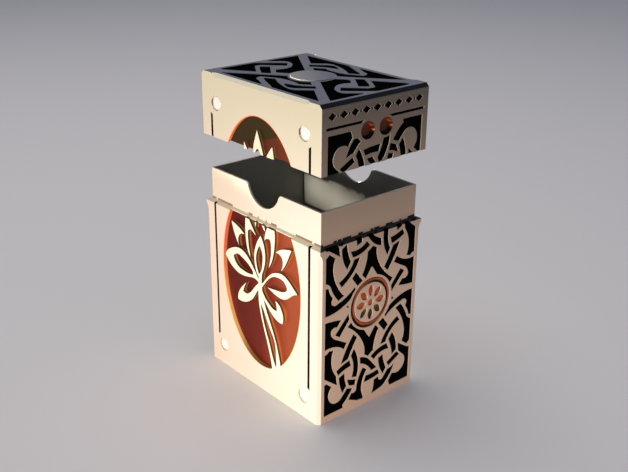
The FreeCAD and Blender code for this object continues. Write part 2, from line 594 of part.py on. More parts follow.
for face_name, turn in (("front", 0), ("back", 180)):
    front_family("case", face_name, turn, case_blank("width", "depth"), size("case_wall"), False)
    front_family("lid", face_name, turn, lid_blank("width", "depth"), size("lid_wall"), True)
for face_name, turn in (("right", 90), ("left", -90)):
    side_family("case", face_name, turn, case_blank("depth", "width"), False)
    side_family("lid", face_name, turn, lid_blank("depth", "width"), True)

# ---------------------------------------------------------------- pins


def pins(heights):
    """Headed pins in the corners of both wide faces, as one group."""
    solids = []
    face = -size("depth") / 2
    for turn in (0, 180):
        for x, z in pin_places():
            if z in heights:
                head = disc(size("pin_head_radius"), x, z, face, size("pin_recess"), size("pin_pocket_depth"))
                shank = disc(size("pin_shank_radius"), x, z, face, size("pin_recess"), size("pin_shank_end"))
                pin = head.fuse(shank).removeSplitter()
                pin.rotate(Vector(), Vector(0, 0, 1), turn)
                solids.append(pin)
    return Part.makeCompound(solids)


keep("case_pins", feature(pins([size("pin_low")]), "pins"))
keep("lid_pins", feature(pins([size("pin_high")]), "pins"), 0, True)

# ---------------------------------------------------------------- liners, base, top plate and boss


# half sizes of a new rectangle, before its sizes follow the sheet
SKETCH_START = (20.0, 10.0)


def rectangle_sketch(body, name, width, depth):
    """A rectangle centred on the body's XY plane, with its two sizes bound to the sheet."""
    sketch = body.newObject("Sketcher::SketchObject", name)
    plane = next(f for f in body.Origin.OriginFeatures if f.Role == "XY_Plane")
    sketch.AttachmentSupport = [(plane, "")]
    sketch.MapMode = "FlatFace"
    half_x, half_y = SKETCH_START
    corners = [Vector(-half_x, -half_y, 0), Vector(half_x, -half_y, 0),
               Vector(half_x, half_y, 0), Vector(-half_x, half_y, 0)]
    for index in range(4):
        sketch.addGeometry(Part.LineSegment(corners[index], corners[(index + 1) % 4]), False)
    for index in range(4):
        sketch.addConstraint(Sketcher.Constraint("Coincident", index, 2, (index + 1) % 4, 1))
        level = "Horizontal" if index % 2 == 0 else "Vertical"
        sketch.addConstraint(Sketcher.Constraint(level, index))
    sketch.addConstraint(Sketcher.Constraint("Symmetric", 0, 1, 1, 2, -1, 1))
    wide = sketch.addConstraint(Sketcher.Constraint("DistanceX", 0, 1, 0, 2, 2 * half_x))
    deep = sketch.addConstraint(Sketcher.Constraint("DistanceY", 1, 1, 1, 2, 2 * half_y))
    sketch.setExpression(f"Constraints[{wide}]", width)
    sketch.setExpression(f"Constraints[{deep}]", depth)
    return sketch


def padded_body(name, width, depth, height):
    """A body with one rectangular pad."""
    body = doc.addObject("PartDesign::Body", name)
    pad = body.newObject("PartDesign::Pad", "pad")
    pad.Profile = rectangle_sketch(body, "outer", width, depth)
    pad.setExpression("Length", height)
    return body


def tube_body(name, inset, wall, height):
    """A square-cornered tube, open at both ends, inset from the box's outer faces."""
    body = padded_body(name, f"dims.width - 2 * ({inset})", f"dims.depth - 2 * ({inset})", height)
    pocket = body.newObject("PartDesign::Pocket", "bore")
    pocket.Profile = rectangle_sketch(body, "inner", f"dims.width - 2 * ({inset} + {wall})",
                                      f"dims.depth - 2 * ({inset} + {wall})")
    pocket.Type = "ThroughAll"
    pocket.Reversed = True
    return body


def notch_cutter():
    """The thumb notch through the front and back walls: a round bottom with rounded shoulders."""
    radius = size("notch_radius")
    shoulder = size("notch_shoulder")
    top = size("liner_top")
    centre = top - size("notch_depth") + radius
    across = math.sqrt((radius + shoulder) ** 2 - (centre - top + shoulder) ** 2)
    share = radius / (radius + shoulder)
    meet = (across * share, centre - (centre - top + shoulder) * share)
    lean = math.atan2(across - meet[0], meet[1] - (top - shoulder)) / 2
    bend = (across - shoulder * math.sin(lean), top - shoulder + shoulder * math.cos(lean))
    outline = [[(-across, top)], [(-bend[0], bend[1]), (-meet[0], meet[1])],
               [(0, centre - radius), meet], [bend, (across, top)],
               [(across, top + OVER)], [(-across, top + OVER)]]
    wire = closed_wire(outline, lambda p: Vector(p[0], -size("depth"), p[1]))
    return Part.Face(wire).extrude(Vector(0, 2 * size("depth"), 0))


liner = tube_body("liner_tube", "dims.case_wall", "dims.liner_wall", "dims.liner_top - dims.base_thick")
bound(liner, Placement__Base__z="dims.base_thick")
keep("case_liner", boolean("Cut", liner, feature(notch_cutter(), "notch")))

base = padded_body("base", "dims.width - 2 * dims.case_wall", "dims.depth - 2 * dims.case_wall",
                   "dims.base_thick")
keep("case_base", base)

lid_liner = tube_body("lid_liner", "dims.lid_wall", "dims.lid_liner_wall",
                      "dims.closed_height - dims.top_thick - dims.seam - dims.lid_liner_foot")
lid_liner.Placement.Base.z = size("seam") + size("lid_liner_foot")
keep("lid_liner", lid_liner, 0, True)


def top_slab(outlines, near, far):
    """Solids drawn on the lid's top face, from depth near to depth far below it."""
    top = size("closed_height")
    solids = []
    for outline in outlines:
        wire = closed_wire(outline, lambda p: Vector(p[0], p[1], top - far))
        solids.append(Part.Face(wire).extrude(Vector(0, 0, far - near)))
    return solids


def top_edge_cutters():
    """Chamfer cutters for the lid's top edges: stopped on the long edges, through on the short."""
    leg = size("top_leg")
    top = size("closed_height")
    stopped = size("top_flat") / 2
    through = size("depth") / 2 + PAST
    cutters = []
    for outward, half, flat_half in (
            (Vector(0, -1, 0), size("depth") / 2, stopped),
            (Vector(0, 1, 0), size("depth") / 2, stopped),
            (Vector(1, 0, 0), size("width") / 2, through),
            (Vector(-1, 0, 0), size("width") / 2, through)):
        slope = (outward + Vector(0, 0, 1)).normalize()
        along = slope.cross(outward).normalize()
        flat = outward * half + Vector(0, 0, top) - slope * (leg / math.sqrt(2))
        cutter = run_out_cutter(leg, -flat_half, flat_half, size("top_run"))
        cutter.Placement = Placement(flat, Rotation(along, slope, along.cross(slope), "XYZ"))
        cutters.append(cutter)
    return Part.makeCompound(cutters)


def moat():
    """The step beside the boss, in the wedges that face front and back."""
    top = size("closed_height")
    outer = size("boss_radius") + size("moat_width")
    deep = size("moat_depth")
    ring = Part.makeCylinder(outer, deep, Vector(0, 0, top - deep))
    lean_x, lean_y = size("moat_lean_x"), size("moat_lean_y")
    wedges = []
    for sign in (-1, 1):
        points = [Vector(0, 0, top - deep), Vector(-lean_x, sign * lean_y, top - deep),
                  Vector(lean_x, sign * lean_y, top - deep)]
        wedges.append(Part.Face(Part.makePolygon(points + points[:1])).extrude(Vector(0, 0, deep)))
    return ring.common(Part.makeCompound(wedges))


top_knot = TOP_KNOT + [half_turned(outline, 0.0) for outline in TOP_KNOT]
boss = Part.makeCylinder(size("boss_radius"), size("top_fret_depth") + size("boss_rise"),
                         Vector(0, 0, size("closed_height") - size("top_fret_depth")))
plate_body = padded_body("top_plate", "dims.width", "dims.depth", "dims.top_thick")
plate_body.setExpression("Placement.Base.z", "dims.closed_height - dims.top_thick")
chamfered = boolean("Cut", plate_body, feature(top_edge_cutters(), "top_edge_cutters"))
boss_seat = Part.makeCylinder(size("boss_radius"), size("top_fret_depth") + OVER,
                              Vector(0, 0, size("closed_height") - size("top_fret_depth")))
top_openings = Part.makeCompound(top_slab(top_knot, -OVER, size("top_fret_depth"))).fuse(boss_seat)
keep("lid_top_plate", boolean("Cut", chamfered, feature(top_openings, "openings")), 0, True)
top_fill = Part.makeCompound(top_slab(top_knot, size("fret_recess"), size("top_fret_depth")))
keep("lid_top_knot_inlay", feature(top_fill.cut(boss).cut(moat()), "top_fill"), 0, True)
keep("lid_top_boss", feature(boss, "boss"), 0, True)

# ---------------------------------------------------------------- check and write

doc.recompute()
for item in doc.Objects:
    if "Invalid" in item.State or "Error" in item.State:
        raise RuntimeError(f"{item.Name} ({item.Label}) failed: {item.State}")
os.makedirs("parts", exist_ok=True)
for label, item in sorted(nodes.items()):
    shape = item.Shape
    if shape.isNull() or not shape.isValid() or not shape.Solids:
        raise RuntimeError(f"{label} has no valid solid")
    shape.exportStep(f"parts/{label}.step")
    print(f"{label:28s} solids {len(shape.Solids):3d}  volume {shape.Volume:10.1f}")
print(len(nodes), "nodes")
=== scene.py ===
# %% [markdown]
# # A card deck box, finished for a close look
#
# The box is two rigid pieces: a case with a thin liner standing out of it, and a lid that lifts
# straight off.  Its panels, inlays and fits are already exact solids.  This lesson adds what a maker
# adds at the end: turned and polished metal fittings, the fine shadow line round the liner, and
# finishes that react to light as lacquer, resin, copper and nickel do.

import bpy
import numpy as np
from mathutils import Matrix, Vector


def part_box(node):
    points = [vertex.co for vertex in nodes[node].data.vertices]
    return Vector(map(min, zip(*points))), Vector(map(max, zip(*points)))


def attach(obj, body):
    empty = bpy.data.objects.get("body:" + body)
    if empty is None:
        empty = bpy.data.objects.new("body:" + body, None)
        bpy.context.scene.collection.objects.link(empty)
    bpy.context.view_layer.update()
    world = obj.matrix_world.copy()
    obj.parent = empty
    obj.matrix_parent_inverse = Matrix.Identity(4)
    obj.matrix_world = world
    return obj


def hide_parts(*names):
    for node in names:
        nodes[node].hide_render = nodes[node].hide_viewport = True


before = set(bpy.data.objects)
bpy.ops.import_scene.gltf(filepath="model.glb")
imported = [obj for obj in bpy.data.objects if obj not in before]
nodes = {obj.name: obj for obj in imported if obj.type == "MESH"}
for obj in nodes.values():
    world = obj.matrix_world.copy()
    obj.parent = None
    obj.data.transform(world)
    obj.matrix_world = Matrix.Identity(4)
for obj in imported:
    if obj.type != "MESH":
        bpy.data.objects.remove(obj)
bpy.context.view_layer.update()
mm = 0.001

# %% [markdown]
# ## Where everything is
#
# Later cells take the places of their pieces from the model itself, apart from the dashes round the
# liner, whose ends are listed.  A panel's box tells where its outer face lies, and a fitting's
# box gives the centre and radius that the turned version has to keep.


# %% Read boxes as arrays
def corners(node):
    """The lowest and highest corners of a node's box, as two arrays."""
    low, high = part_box(node)
    return np.array(low), np.array(high)


case_high = corners("case_front_panel")[1]
liner_high = corners("case_liner")[1]
lid_high = corners("lid_top_plate")[1]
print("rim", round(case_high[2] / mm, 2), "liner rim", round(liner_high[2] / mm, 2),
      "lid top", round(lid_high[2] / mm, 2))

# %% [markdown]
# ## The camera
#
# The box is seen from its front right corner and from a little above, through a lens slightly longer
# than normal.  The camera's place is measured from the middle of the box's foot, and two angles give
# the way it looks.  A hair of roll tips the view, as a camera held by hand does.

# %% Place the camera
AZIMUTH = np.radians(48.93)
ELEVATION = np.radians(22.93)
ROLL = np.radians(0.52)
EYE = np.array([265.2, -229.5, 212.7]) * mm
LENS = 51.44
SENSOR = 36.0

outward = np.array([np.sin(AZIMUTH), -np.cos(AZIMUTH), 0.0])
back = np.cos(ELEVATION) * outward + np.sin(ELEVATION) * np.array([0.0, 0.0, 1.0])
level = np.cross([0, 0, 1], back)
level /= np.linalg.norm(level)
above = np.cross(back, level)
across = np.cos(ROLL) * level + np.sin(ROLL) * above
upright = np.cross(back, across)

camera_data = bpy.data.cameras.new("studio_camera")
camera_data.lens = LENS
camera_data.sensor_width = SENSOR
camera_data.clip_start = 0.01
camera = bpy.data.objects.new("studio_camera", camera_data)
bpy.context.scene.collection.objects.link(camera)
camera.matrix_world = Matrix([[*row, place] for row, place in zip(np.stack([across, upright, back], 1), EYE)]
                             + [[0, 0, 0, 1]])
bpy.context.scene.camera = camera
print("camera at", np.round(EYE / mm, 1), "mm")

# %% [markdown]
# ## Shader maths as Python
#
# Node trees are wordy to write by hand.  A small class wraps one output socket, and its operators
# add Math nodes, so that `0.3 + 0.1 * grain` reads as what it is.  Every other node comes from one
# method that takes the node's type, its settings and its inputs.  Most finishes
# share two lengths: how far a polisher rounds an edge, and how deep a surface's grain is.

# %% Wrap sockets and nodes
BEVEL_SAMPLES = 6
EDGE_RADIUS = 0.12 * mm
GRAIN_DEEP = 0.02 * mm
EDGE_SHARE = 0.5


class Value:
    """One output socket of a material's tree, with arithmetic."""

    def __init__(self, sheet, socket):
        self.sheet = sheet
        self.socket = socket

    def maths(self, operation, left, right):
        return self.sheet.node("ShaderNodeMath", {"operation": operation}, {0: left, 1: right})

    def __add__(self, other):
        return self.maths("ADD", self, other)

    def __radd__(self, other):
        return self.maths("ADD", other, self)

    def __sub__(self, other):
        return self.maths("SUBTRACT", self, other)

    def __rsub__(self, other):
        return self.maths("SUBTRACT", other, self)

    def __mul__(self, other):
        return self.maths("MULTIPLY", self, other)

    def __rmul__(self, other):
        return self.maths("MULTIPLY", other, self)

    def __pow__(self, other):
        return self.maths("POWER", self, other)


class Finish:
    """A material under construction."""

    def __init__(self, name, **sockets):
        self.material = bpy.data.materials.new(name)
        self.material.use_nodes = True
        self.tree = self.material.node_tree
        self.shader = self.tree.nodes["Principled BSDF"]
        self.place = self.node("ShaderNodeTexCoord", {}, {}, "Object")
        self.set(**sockets)

    def join(self, value, socket):
        if isinstance(value, Value):
            self.tree.links.new(value.socket, socket)
        else:
            socket.default_value = value if isinstance(value, tuple) else float(value)

    def node(self, kind, settings, inputs, output=0):
        """Add a node, set its settings first, then join or set its inputs."""
        made = self.tree.nodes.new(kind)
        for name, setting in settings.items():
            if name == "stops":
                ramp = made.color_ramp
                while len(ramp.elements) < len(setting):
                    ramp.elements.new(0.5)
                for element, (position, colour) in zip(ramp.elements, setting):
                    element.position = position
                    element.color = (*colour, 1.0)
            else:
                setattr(made, name, setting)
        for name, value in inputs.items():
            self.join(value, made.inputs[name])
        return Value(self, made.outputs[output])

    def set(self, **sockets):
        """Set or join sockets of the surface shader, with underscores for spaces."""
        for name, value in sockets.items():
            self.join(value, self.shader.inputs[name.replace("_", " ")])

    def noise(self, scale, detail=3.0, stretch=(1.0, 1.0, 1.0)):
        """Cloudy noise from 0 to 1; scale counts clouds per metre, and stretch scales each axis."""
        place = self.node("ShaderNodeMapping", {}, {"Vector": self.place, "Scale": stretch})
        return self.node("ShaderNodeTexNoise", {}, {"Vector": place, "Scale": scale, "Detail": detail})

    def ramp(self, value, *stops):
        """A colour ramp; each stop is a position and a colour."""
        return self.node("ShaderNodeValToRGB", {"stops": stops}, {"Fac": value})

    def span(self, value, low, high, to_low=0.0, to_high=1.0):
        """Stretch low..high to another range, clamped."""
        return self.node("ShaderNodeMapRange", {},
                         {"Value": value, "From Min": low, "From Max": high,
                          "To Min": to_low, "To Max": to_high})

    def mix(self, share, first, second):
        """Mix two colours."""
        return self.node("ShaderNodeMix", {"data_type": "RGBA"}, {0: share, 6: first, 7: second}, 2)

    def rounded(self, radius):
        """The surface normal with edges rounded to a radius, as a polisher leaves them."""
        return self.node("ShaderNodeBevel", {"samples": BEVEL_SAMPLES}, {"Radius": radius})

    def part(self, vector, axis):
        """One coordinate of a vector."""
        return self.node("ShaderNodeSeparateXYZ", {}, {0: vector}, axis)

    def size(self, value):
        """A value without its sign."""
        return self.node("ShaderNodeMath", {"operation": "ABSOLUTE"}, {0: value})

    def along(self, axis):
        """The place along one axis of the model, in metres."""
        return self.part(self.place, axis)

    def facing(self, axis):
        """How squarely a face looks along one axis of the model, from -1 to 1."""
        return self.part(self.node("ShaderNodeTexCoord", {}, {}, "Normal"), axis)

    def edges(self, radius):
        """A mask that is 1 on sharp edges and 0 on flats: how far the rounded normal leans."""
        geometry = self.node("ShaderNodeNewGeometry", {}, {}, "Normal")
        agreement = self.node("ShaderNodeVectorMath", {"operation": "DOT_PRODUCT"},
                              {0: self.rounded(radius), 1: geometry}, "Value")
        return self.span(agreement, 0.99, 0.75)

    def bump(self, height, strength, distance, normal=None):
        """Turn a height into a normal."""
        inputs = {"Height": height, "Strength": strength, "Distance": distance}
        if normal is not None:
            inputs["Normal"] = normal
        return self.node("ShaderNodeBump", {}, inputs)


print("shader helpers ready")

# %% [markdown]
# ## Ivory lacquer
#
# The panels are sheet metal under a warm satin lacquer.  Sprayed lacquer is never quite flat: it has
# a faint orange-peel texture, a slow drift in tone, and it thins on sharp edges, where it looks
# lighter, partly from the thin lacquer and partly as a painted highlight.  Light and shade are also
# painted into the colour: each wide panel goes from a shaded rose to a lit cream across its width,
# and the lid turns to straw with painted light and shade by how its faces look.  The two ends are a
# shaded copy, painted a deeper brown towards the top.  Rounding the normals at edges gives every
# cut-out a fine highlight without touching the exact solids.
#
# Ramp stops are pairs of a place from 0 to 1 and a colour.  The lid's stops go by how squarely a face
# looks up, and the ends' stops go by height.

# %% Ivory lacquer
# Painted light across the wide panels: ROSE is the shaded side and CREAM the lit side.
ROSE = (0.800, 0.650, 0.525, 1.0)
CREAM = (0.920, 0.885, 0.760, 1.0)
# Painted light: faces of the rim that look up take a lit olive.
LIT_RIM_OLIVE = (0.800, 0.770, 0.560, 1.0)
# Painted light and shade on the lid by how a face looks: darker uprights, lit bevels, a dimmer rosy top.
LID_LIGHT_AND_SHADE_STOPS = ((0.10, (0.665, 0.625, 0.465)), (0.25, (1.0, 0.97, 0.76)), (0.88, (1.0, 0.97, 0.76)),
             (0.95, (0.86, 0.755, 0.685)))
# Sharp edges take a paler ivory: the lacquer is thin there, and it is also a painted highlight.
EDGE_IVORY_AND_HIGHLIGHT = (0.95, 0.92, 0.84, 1.0)
HALF_WIDTH = case_high[0]
LACQUER_IOR = 1.45
TONE_CLOUDS = 38.0
DUST_CLOUDS = 2600.0
PEEL_CLOUDS = 1500.0
UPWARD = (0.2, 0.5)
ENDWARD = (0.85, 0.95)
STRAW_GAIN = 1.1
# Painted shade on the end faces: a darker copy of the lacquer, darker still towards the top.
END_SHADE_STOPS = ((0.0, (0.84, 0.70, 0.51)), (0.45, (0.73, 0.57, 0.405)), (0.63, (0.50, 0.395, 0.275)),
             (0.80, (0.34, 0.265, 0.185)), (1.0, (0.15, 0.120, 0.085)))


def below_rim(finish):
    """A mask that is 1 up to the case's rim and 0 from just above it."""
    return finish.span(finish.along("Z"), case_high[2] + 0.2 * mm, case_high[2] + 0.1 * mm)


def looks_up(finish):
    """A mask of the faces that look up, even a little."""
    return finish.span(finish.facing("Z"), *UPWARD)


def ivory(finish):
    """The lacquer's tone, drifting, and lighter on edges, where it is thin and a highlight is painted.

    The wide faces go from a shaded rose to a lit cream across the width, a painted fall of light.  The
    lid's are straw, with painted light and shade by facing: paler on its bevels and rosy on its flat top.
    The end faces are a shaded copy, painted darker and more so towards the top, and the case's rim is
    olive where it looks up, a painted light by facing."""
    drift = finish.noise(TONE_CLOUDS, 4.0)
    # Painted light: the tone goes from shaded rose to lit cream across the width.
    across = finish.span(finish.along("X"), -HALF_WIDTH, HALF_WIDTH) + 0.5 * (drift - 0.5)
    wide = finish.mix(finish.span(across, 0.0, 1.0), ROSE, CREAM)
    # In the lid the tone turns to straw, and the painted light and shade by facing take over.
    straw = finish.span(finish.along("Z"), case_high[2], lid_high[2], 0.0, STRAW_GAIN)
    wide = finish.mix(straw, wide, finish.ramp(finish.facing("Z"), *LID_LIGHT_AND_SHADE_STOPS))
    # Painted light by facing: the rim's upward faces turn olive.
    wide = finish.mix(looks_up(finish) * below_rim(finish), wide, LIT_RIM_OLIVE)
    # Painted shade: the end faces darken with height.
    rise = finish.span(finish.along("Z"), 0.0, lid_high[2]) + 0.12 * (drift - 0.5)
    end_face = finish.span(finish.size(finish.facing("X")), *ENDWARD)
    tone = finish.mix(end_face, wide, finish.ramp(rise, *END_SHADE_STOPS))
    # Edges are mixed toward pale ivory: thin lacquer and a painted highlight.
    return finish.mix(EDGE_SHARE * finish.edges(EDGE_RADIUS), tone, EDGE_IVORY_AND_HIGHLIGHT), drift


def sprayed(finish, drift):
    """The lacquer's skin: fine dust in the gloss and orange peel in the surface."""
    dust = finish.noise(DUST_CLOUDS, 2.0)
    peel = finish.noise(PEEL_CLOUDS, 2.0)
    finish.set(Roughness=0.34 + 0.10 * drift + 0.06 * dust, Coat_Weight=0.15, Coat_Roughness=0.15)
    finish.set(Normal=finish.bump(peel, 0.10, GRAIN_DEEP, finish.rounded(EDGE_RADIUS)))
    return finish.material


plain = Finish("ivory_lacquer", IOR=LACQUER_IOR)
tone, drift = ivory(plain)
plain.set(Base_Color=tone)
lacquer = sprayed(plain, drift)
print("made", lacquer.name)

# %% [markdown]
# ## Dark mitres
#
# At the two ends of the box the sloped edges are painted as black as the knotwork below them, a
# painted shade.  Only faces that slope up and outwards near the top of a piece take it, and a
# face's slope is read from its normal, so the same finish serves every end piece.

# %% Lacquer with dark mitres
# Painted shade: the black that the sloped end edges take.
MITRE_SHADE_BLACK = (0.006, 0.0055, 0.005, 1.0)
CASE_MITRE_HIGH = 1.6 * mm
LID_MITRE_HIGH = 3.0 * mm


def end_lacquer(name, from_height, least_slope):
    """Ivory lacquer whose end faces are painted black above a height, as painted shade, if they lean
    outwards enough.
    """
    finish = Finish(name, IOR=LACQUER_IOR)
    tone, drift = ivory(finish)
    outward = finish.span(finish.size(finish.facing("X")), least_slope, least_slope + 0.10)
    upward = finish.span(finish.facing("Z"), 0.15, 0.30)
    high = finish.span(finish.along("Z"), from_height, from_height + 0.05 * mm)
    finish.set(Base_Color=finish.mix(outward * upward * high, tone, MITRE_SHADE_BLACK))
    return sprayed(finish, drift)


case_end_lacquer = end_lacquer("case_end_lacquer", case_high[2] - CASE_MITRE_HIGH, 0.12)
lid_end_lacquer = end_lacquer("lid_end_lacquer", lid_high[2] - LID_MITRE_HIGH, 0.40)
print("made", case_end_lacquer.name, "and", lid_end_lacquer.name)

# %% [markdown]
# ## Liner
#
# The liner is lacquered outside only.  Inside it is grey like bare steel and darkened as a painted
# shade, so the well looks deep and dark.
# One solid has both finishes, so the finish itself has to know where it is.  A point belongs to the
# inside when it lies more than half the wall's thickness in from the outer faces, both along the width
# and along the depth.

# %% Liner finish
LINER_WALL = 1.0 * mm
# Painted shade: the well's inside is a darkened steel grey.
SHADED_STEEL_DARK = (0.27, 0.27, 0.245, 1.0)
SHADED_STEEL_LIGHT = (0.35, 0.345, 0.310, 1.0)
UPRIGHT_STREAKS = (1.0, 1.0, 0.15)
liner = Finish("liner_lacquer", IOR=LACQUER_IOR)
tone, drift = ivory(liner)
half_wall = LINER_WALL / 2
inside = 1.0
for axis, half in zip("XY", liner_high):
    inside = inside * liner.span(liner.size(liner.along(axis)), half - half_wall, half - 1.2 * half_wall)
shaded_steel = liner.mix(liner.noise(120.0, 4.0, UPRIGHT_STREAKS), SHADED_STEEL_DARK, SHADED_STEEL_LIGHT)
liner.set(Base_Color=liner.mix(inside, tone, shaded_steel))
liner_lacquer = sprayed(liner, drift)
print("made", liner_lacquer.name)

# %% [markdown]
# ## Lotus
#
# The lotus is cut from thick sheet.  Its face is lacquered like the panels, but its cut walls are
# bare metal, painted dark near the face as a painted shade, and old gold at the foot as a painted
# reflection of the copper they meet.
# The walls are the faces that don't look out of the panel, and the distance from the face gives the
# place in the ramp.  The rim's lacquer runs on over the oval as a narrow strip, which covers the top of
# the lotus and of the copper behind it.

# %% Lotus finish
lotus_low, lotus_high = corners("case_front_lotus")
# Painted shade near the face and painted reflection of the copper at the foot of the lotus's walls.
WALL_SHADE_AND_REFLECTION_STOPS = ((0.0, (0.085, 0.078, 0.045)), (0.46, (0.110, 0.090, 0.042)), (0.60, (0.50, 0.34, 0.130)),
              (1.0, (0.64, 0.43, 0.165)))
STRIP_HIGH = 0.5 * mm
STRIP_SHADED = (0.36, 0.35, 0.235, 1.0)
WALLWARD = (0.75, 0.55)


def under_strip(finish, tone):
    """The tone of a piece that ends at the case's rim, and a mask of the lacquered strip over its top.

    The strip is the rim's own lacquer, carried across the oval: olive where it looks up, and darker
    where it looks out, painted light and shade by facing."""
    strip = (finish.span(finish.along("Z"), case_high[2] - 1.1 * STRIP_HIGH, case_high[2] - STRIP_HIGH)
             * below_rim(finish))
    return finish.mix(strip, tone, finish.mix(looks_up(finish), STRIP_SHADED, LIT_RIM_OLIVE)), strip


lotus = Finish("lotus_lacquer", IOR=LACQUER_IOR)
tone, drift = ivory(lotus)
wall = lotus.span(lotus.size(lotus.facing("Y")), *WALLWARD)
sunk = lotus.span(lotus.size(lotus.along("Y")), -lotus_low[1], -lotus_high[1])
# The walls take the painted shade and reflection ramp.
tone, strip = under_strip(lotus, lotus.mix(wall, tone, lotus.ramp(sunk, *WALL_SHADE_AND_REFLECTION_STOPS)))
lotus.set(Base_Color=tone, Metallic=0.4 * wall * (1.0 - strip))
lotus_lacquer = sprayed(lotus, drift)
print("lotus stands", round((lotus_high[1] - lotus_low[1]) / mm, 2), "mm thick")

# %% [markdown]
# ## Black resin
#
# The knotwork pockets and slots are filled with black resin and rubbed down just below the metal.
# It is a deep black with hardly any gloss, slightly duller where the rubbing left a fine grain.  The
# same fine noise feeds the roughness and the bump, because both come from one grain.

# %% Black resin
DEEP_BLACK = (0.0010, 0.0009, 0.0008, 1.0)
SOFT_BLACK = (0.0040, 0.0036, 0.0032, 1.0)
resin = Finish("black_resin", IOR=LACQUER_IOR)
grain = resin.noise(900.0, 5.0)
cloud = resin.noise(60.0, 3.0)
resin.set(Base_Color=resin.mix(cloud, DEEP_BLACK, SOFT_BLACK), Roughness=0.62 + 0.16 * grain)
resin.set(Specular_IOR_Level=0.006)
resin.set(Normal=resin.bump(grain, 0.08, GRAIN_DEEP, resin.rounded(EDGE_RADIUS)))
black_resin = resin.material
print("made", black_resin.name)

# %% [markdown]
# ## Copper
#
# The oval floors are satin copper with painted light in their colour: deep red on one side, running
# to orange on the other as painted reflected light, a darker painted shade of brown in the lid and an
# olive painted shadow near its top.  The oval's wall goes from gold at its foot to a warm orange, a
# painted reflection.  A ramp that reads the place puts each painted colour where it falls.  Polishing
# leaves hairlines that run upright, and they are noise drawn out along the height.

# %% Copper
# Painted highlight on the edges of all the copper.
EDGE_COPPER_HIGHLIGHT = (1.0, 0.62, 0.30, 1.0)
UPRIGHT_HAIRS = (7.0, 7.0, 0.25)


def polished(finish, tone, roughness, metal=1.0):
    """Upright polishing hairlines and edges painted bright as a highlight, on a metal of one tone."""
    drift = finish.noise(30.0, 3.0)
    hairs = finish.noise(420.0, 3.0, UPRIGHT_HAIRS)
    bright = finish.mix(EDGE_SHARE * finish.edges(EDGE_RADIUS), tone, EDGE_COPPER_HIGHLIGHT)
    bright, strip = under_strip(finish, bright)
    finish.set(Base_Color=bright, Metallic=metal * (1.0 - strip))
    finish.set(Roughness=roughness + 0.12 * hairs * drift)
    finish.set(Normal=finish.bump(hairs, 0.04, GRAIN_DEEP, finish.rounded(EDGE_RADIUS)))
    return finish.material


OVAL_HALF = 16.0 * mm
# Painted reflected light across the oval floor, from deep red to orange.
REFLECTED_LIGHT_STOPS = ((0.0, (0.215, 0.030, 0.022)), (0.45, (0.30, 0.042, 0.026)), (0.75, (0.52, 0.095, 0.045)),
               (1.0, (0.66, 0.155, 0.066)))
# Painted shade: a darker brown inside the lid, and olive as a painted shadow near its top.
LID_SHADE_COPPER = (0.150, 0.048, 0.024, 1.0)
OLIVE_SHADOW_COPPER = (0.085, 0.055, 0.020, 1.0)
OLIVE_FROM = corners("lid_front_panel")[0][2] + 4.7 * mm
OLIVE_SLOPE = 0.33
floor_copper = Finish("red_copper")
drift = floor_copper.noise(45.0, 3.0)
across = floor_copper.span(floor_copper.along("X"), -OVAL_HALF, OVAL_HALF) + 0.25 * (drift - 0.5)
painted_light = floor_copper.ramp(across, *REFLECTED_LIGHT_STOPS)
in_lid = floor_copper.span(floor_copper.along("Z"), case_high[2] + 0.1 * mm, case_high[2] + 0.2 * mm)
painted_light = floor_copper.mix(0.8 * in_lid, painted_light, LID_SHADE_COPPER)
slanted = floor_copper.along("Z") - OLIVE_SLOPE * floor_copper.along("X")
olive_shadow = floor_copper.span(slanted, OLIVE_FROM, OLIVE_FROM + 1.0 * mm)
red_copper = polished(floor_copper, floor_copper.mix(olive_shadow, painted_light, OLIVE_SHADOW_COPPER), 0.46)
print("made", red_copper.name)

# %% Gold copper
# Painted reflection: the oval's wall goes by height from dark gold at its foot through gold to orange.
WALL_REFLECTION_STOPS = ((0.18, (0.42, 0.27, 0.08)), (0.26, (1.0, 0.68, 0.25)), (0.48, (1.0, 0.60, 0.22)),
              (0.64, (1.0, 0.38, 0.15)), (0.80, (1.0, 0.27, 0.12)))
wall_copper = Finish("gold_copper")
rise = wall_copper.span(wall_copper.along("Z"), 0.0, case_high[2])
gold_copper = polished(wall_copper, wall_copper.ramp(rise, *WALL_REFLECTION_STOPS), 0.34, 0.15)
print("made", gold_copper.name)

# %% [markdown]
# ## Fittings with painted light and shade
#
# The rings, rosettes and cups are brighter copper, with light and shade painted into their colour as
# if lit from one side.  On a ring or a cup the painted tone follows the way the surface looks, so a
# crown shows a bright and a dark flank, and a cup's wall is orange above and nearly black below, round
# a brown floor.  A flat rosette has no flanks, so there the painted shade follows the height instead.
# Half a turn about the upright axis brings one end of the box to the other, which is why the
# directions take the sign of their end.

# %% Fitting copper
SHADE_CLOUDS = 260.0


def shaded_by_look(name, end, back_share, up_share, stops, cloud, roughness):
    """Copper with painted light and shade that follow how much a face looks back and up; end is -1 left and
    1 right.

    The place in the ramp is half of one more than the weighted look, and clouds blur it."""
    finish = Finish(name)
    look = (back_share * end) * finish.facing("Y") + up_share * finish.facing("Z")
    share = 0.5 + 0.5 * look + cloud * (finish.noise(SHADE_CLOUDS) - 0.5)
    return polished(finish, finish.ramp(share, *stops), roughness)


def shaded_by_height(name, node, stops):
    """Copper with painted shade that follows the height across one fitting."""
    low, high = corners(node)
    finish = Finish(name)
    share = finish.span(finish.along("Z"), low[2], high[2]) + 0.14 * (finish.noise(SHADE_CLOUDS) - 0.5)
    return polished(finish, finish.ramp(share, *stops), 0.18)


